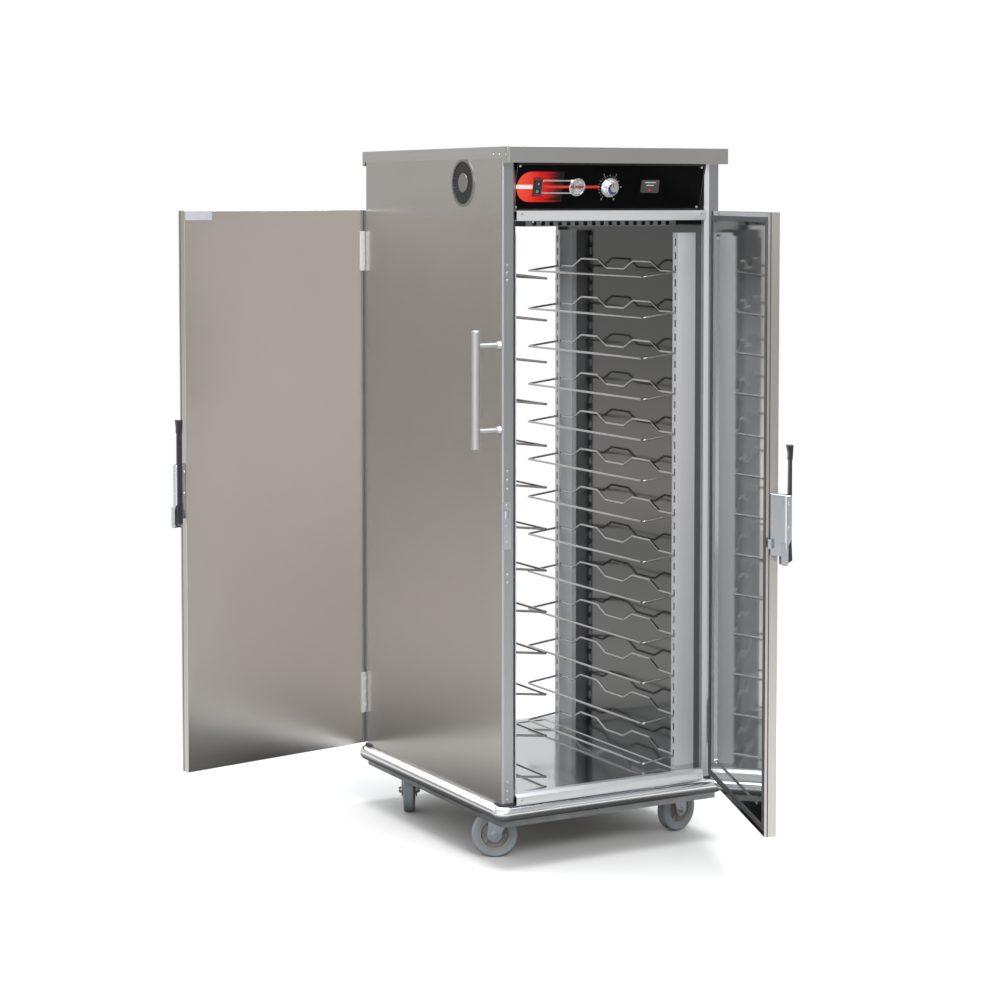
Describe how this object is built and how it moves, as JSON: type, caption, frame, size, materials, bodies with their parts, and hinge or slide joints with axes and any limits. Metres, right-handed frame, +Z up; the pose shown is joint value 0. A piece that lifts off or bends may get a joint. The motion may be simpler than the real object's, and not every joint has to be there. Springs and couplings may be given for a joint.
{
  "type": "food holding cabinet",
  "caption": "Tall mobile insulated cabinet that keeps trays of cooked food warm, with wire tray slides, a door at each end, push bars and swivel casters.",
  "frame": {"origin": "middle of the body's footprint, on the floor that the casters stand on", "axes": "+Z up, -Y the front with the control panel, +X to the right of somebody facing the front"},
  "size_m": [1.4288, 1.5545, 1.94],
  "materials": {
    "side_steel": "satin brushed",
    "frame_aluminium": "satin",
    "upright_metal": "satin",
    "polished_steel": "bright polished",
    "bumper_metal": "polished",
    "galvanised": "galvanised",
    "duct_metal": "satin",
    "insulation": "fibrous",
    "panel_black": "gloss",
    "heater_sheath": "heat tinted",
    "motor_metal": "satin",
    "dark_plastic": "fine texture",
    "knob_silver": "satin",
    "rocker_plastic": "gloss",
    "dial_metal": "polished",
    "lens_glass": "clear",
    "needle_paint": "gloss",
    "slide_wire": "polished",
    "vent_metal": "satin",
    "vent_screen": "woven screen",
    "handle_metal": "satin",
    "fastener_metal": "satin",
    "latch_metal": "satin chrome",
    "lever_black": "gloss",
    "hinge_metal": "satin",
    "zinc": "bright zinc plated",
    "gasket_rubber": "soft",
    "caster_tread": "smooth",
    "wheel_core": "moulded"
  },
  "bodies": {
    "root": {"bumper": "bumper_metal", "cabinet_hinges": "hinge_metal", "caster_plates": "zinc", "ceiling_duct": "duct_metal", "chassis_frame": "galvanised", "control_panel": "panel_black", "corner_posts": "frame_aluminium", "fan_motor": "motor_metal", "floor_pan": "polished_steel", "frame_fasteners": "fastener_metal", "heater_element": "heater_sheath", "insulation": "insulation", "opening_rails": "frame_aluminium", "power_inlet": "dark_plastic", "push_handles": "handle_metal", "rear_panel": "side_steel", "rocker_bezel": "dark_plastic", "side_liners": "polished_steel", "side_skins": "side_steel", "strikes": "latch_metal", "thermometer_case": "dial_metal", "thermometer_lens": "lens_glass", "thermostat_body": "dark_plastic", "top_cap": "side_steel", "tray_slides": "slide_wire", "uprights": "upright_metal", "vent_mesh": "vent_screen", "vent_ring": "vent_metal"},
    "fan": {"fan_blade": "duct_metal"},
    "knob": {"thermostat_knob": "knob_silver"},
    "rocker": {"power_rocker": "rocker_plastic"},
    "needle": {"thermometer_needle": "needle_paint"},
    "front_door": {"front_door_skin": "side_steel", "front_door_liner": "polished_steel", "front_door_insulation": "insulation", "front_door_gasket": "gasket_rubber", "front_door_hinge_leaves": "hinge_metal", "front_door_latch_housing": "latch_metal"},
    "front_latch_lever": {"front_door_latch_lever": "lever_black"},
    "front_latch_bolt": {"front_door_latch_bolt": "latch_metal"},
    "rear_door": {"rear_door_skin": "side_steel", "rear_door_liner": "polished_steel", "rear_door_insulation": "insulation", "rear_door_gasket": "gasket_rubber", "rear_door_hinge_leaves": "hinge_metal", "rear_door_latch_housing": "latch_metal"},
    "rear_latch_lever": {"rear_door_latch_lever": "lever_black"},
    "rear_latch_bolt": {"rear_door_latch_bolt": "latch_metal"},
    "front_left_caster": {"front_left_fork": "zinc"},
    "front_left_wheel": {"front_left_tyre": "caster_tread", "front_left_wheel_core": "wheel_core"},
    "front_right_caster": {"front_right_fork": "zinc"},
    "front_right_wheel": {"front_right_tyre": "caster_tread", "front_right_wheel_core": "wheel_core"},
    "rear_left_caster": {"rear_left_fork": "zinc"},
    "rear_left_wheel": {"rear_left_tyre": "caster_tread", "rear_left_wheel_core": "wheel_core"},
    "rear_right_caster": {"rear_right_fork": "zinc"},
    "rear_right_wheel": {"rear_right_tyre": "caster_tread", "rear_right_wheel_core": "wheel_core"}
  },
  "joints": [
    {"name": "front_door_hinge", "type": "hinge", "parent": "root", "child": "front_door", "pos_m": [0.324, -0.44, 0.979], "axis": [0, 0, 1], "range_deg": [-69.1, 125.9]},
    {"name": "front_latch_lever_turn", "type": "hinge", "parent": "front_door", "child": "front_latch_lever", "pos_m": [0.09955, -1.07683, 0.892], "axis": [0.3567, 0.9342, 0], "range_deg": [0, 25], "stiffness_Nm_per_rad": 0.6, "springref_deg": -17.19},
    {"name": "front_latch_bolt_slide", "type": "slide", "parent": "front_door", "child": "front_latch_bolt", "axis": [0.3567, 0.9342, 0], "range_m": [0, 0.007]},
    {"name": "rear_door_hinge", "type": "hinge", "parent": "root", "child": "rear_door", "pos_m": [-0.324, 0.44, 0.979], "axis": [0, 0, 1], "range_deg": [-190, 5]},
    {"name": "rear_latch_lever_turn", "type": "hinge", "parent": "rear_door", "child": "rear_latch_lever", "pos_m": [-0.98571, 0.30555, 0.892], "axis": [0.9848, 0.1736, 0], "range_deg": [0, 25], "stiffness_Nm_per_rad": 0.6, "springref_deg": -17.19},
    {"name": "rear_latch_bolt_slide", "type": "slide", "parent": "rear_door", "child": "rear_latch_bolt", "axis": [0.9848, 0.1736, 0], "range_m": [0, 0.007]},
    {"name": "front_left_swivel", "type": "hinge", "parent": "root", "child": "front_left_caster", "pos_m": [-0.264, -0.295, 0.14], "axis": [0, 0, 1], "continuous": true},
    {"name": "front_left_roll", "type": "hinge", "parent": "front_left_caster", "child": "front_left_wheel", "pos_m": [-0.29204, -0.27958, 0.0635], "axis": [-0.4818, -0.8763, 0], "continuous": true},
    {"name": "front_right_swivel", "type": "hinge", "parent": "root", "child": "front_right_caster", "pos_m": [0.264, -0.295, 0.14], "axis": [0, 0, 1], "continuous": true},
    {"name": "front_right_roll", "type": "hinge", "parent": "front_right_caster", "child": "front_right_wheel", "pos_m": [0.29505, -0.28726, 0.0635], "axis": [-0.2419, 0.9703, 0], "continuous": true},
    {"name": "rear_left_swivel", "type": "hinge", "parent": "root", "child": "rear_left_caster", "pos_m": [-0.264, 0.295, 0.14], "axis": [0, 0, 1], "continuous": true},
    {"name": "rear_left_roll", "type": "hinge", "parent": "rear_left_caster", "child": "rear_left_wheel", "pos_m": [-0.27942, 0.26696, 0.0635], "axis": [0.8763, -0.4818, 0], "continuous": true},
    {"name": "rear_right_swivel", "type": "hinge", "parent": "root", "child": "rear_right_caster", "pos_m": [0.264, 0.295, 0.14], "axis": [0, 0, 1], "continuous": true},
    {"name": "rear_right_roll", "type": "hinge", "parent": "rear_right_caster", "child": "rear_right_wheel", "pos_m": [0.235, 0.28148, 0.0635], "axis": [0.4226, -0.9063, 0], "continuous": true},
    {"name": "fan_spin", "type": "hinge", "parent": "root", "child": "fan", "pos_m": [0.12, 0.06, 1.78], "axis": [0, 0, 1], "continuous": true},
    {"name": "thermostat_turn", "type": "hinge", "parent": "root", "child": "knob", "pos_m": [-0.006, -0.41223, 1.8312], "axis": [0, -0.9732, -0.2299], "range_deg": [-270, 0]},
    {"name": "power_rocker_tilt", "type": "hinge", "parent": "root", "child": "rocker", "pos_m": [-0.229, -0.39471, 1.83534], "axis": [1, 0, 0], "range_deg": [-16, 0]},
    {"name": "thermometer_needle_turn", "type": "hinge", "parent": "root", "child": "needle", "pos_m": [-0.107, -0.4025, 1.8335], "axis": [0, -0.9732, -0.2299], "range_deg": [-240, 0], "stiffness_Nm_per_rad": 0.002}
  ],
  "couplings": [
    {"joint": "front_latch_bolt_slide", "follows": "front_latch_lever_turn", "m_per_rad": 0.016},
    {"joint": "rear_latch_bolt_slide", "follows": "rear_latch_lever_turn", "m_per_rad": 0.016}
  ]
}
